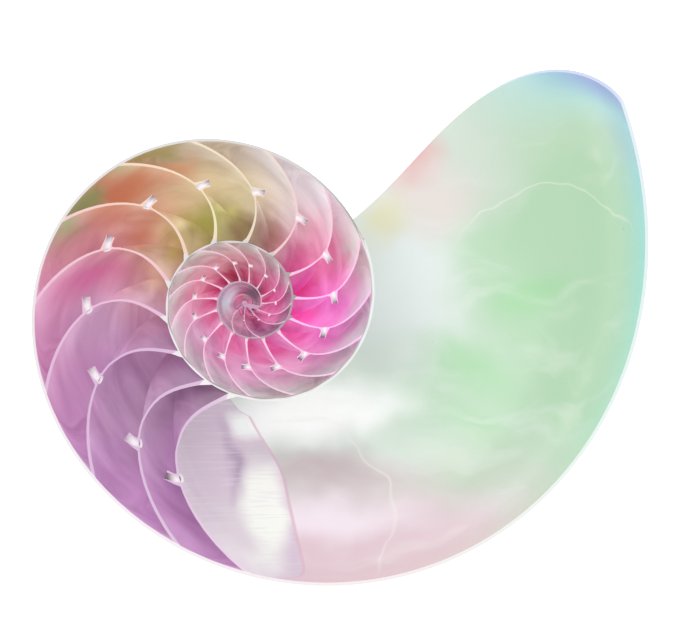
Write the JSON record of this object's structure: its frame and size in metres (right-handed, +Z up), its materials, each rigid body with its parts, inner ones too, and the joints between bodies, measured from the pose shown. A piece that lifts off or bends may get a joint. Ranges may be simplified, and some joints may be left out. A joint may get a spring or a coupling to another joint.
{
  "type": "nautilus shell half",
  "caption": "Half of a chambered spiral sea shell, sawn through its plane of symmetry: pearly chambers with curved walls, siphon necks and an open living chamber, lying on its rounded flank.",
  "frame": {"origin": "centre of the shell's bounding box at the level of the surface that it lies on", "axes": "+X along the longest extent, from the coil's outer whorl towards the mouth; +Z up, out of the sawn face, which leans about 14 degrees from level in the pose at rest"},
  "size_m": [0.158, 0.137, 0.0562],
  "materials": {
    "nacre": "polished mother-of-pearl, tinted pink and mauve in the chambers and pale green in the living chamber"
  },
  "bodies": {
    "root": {"shell_half": "nacre"}
  },
  "joints": []
}
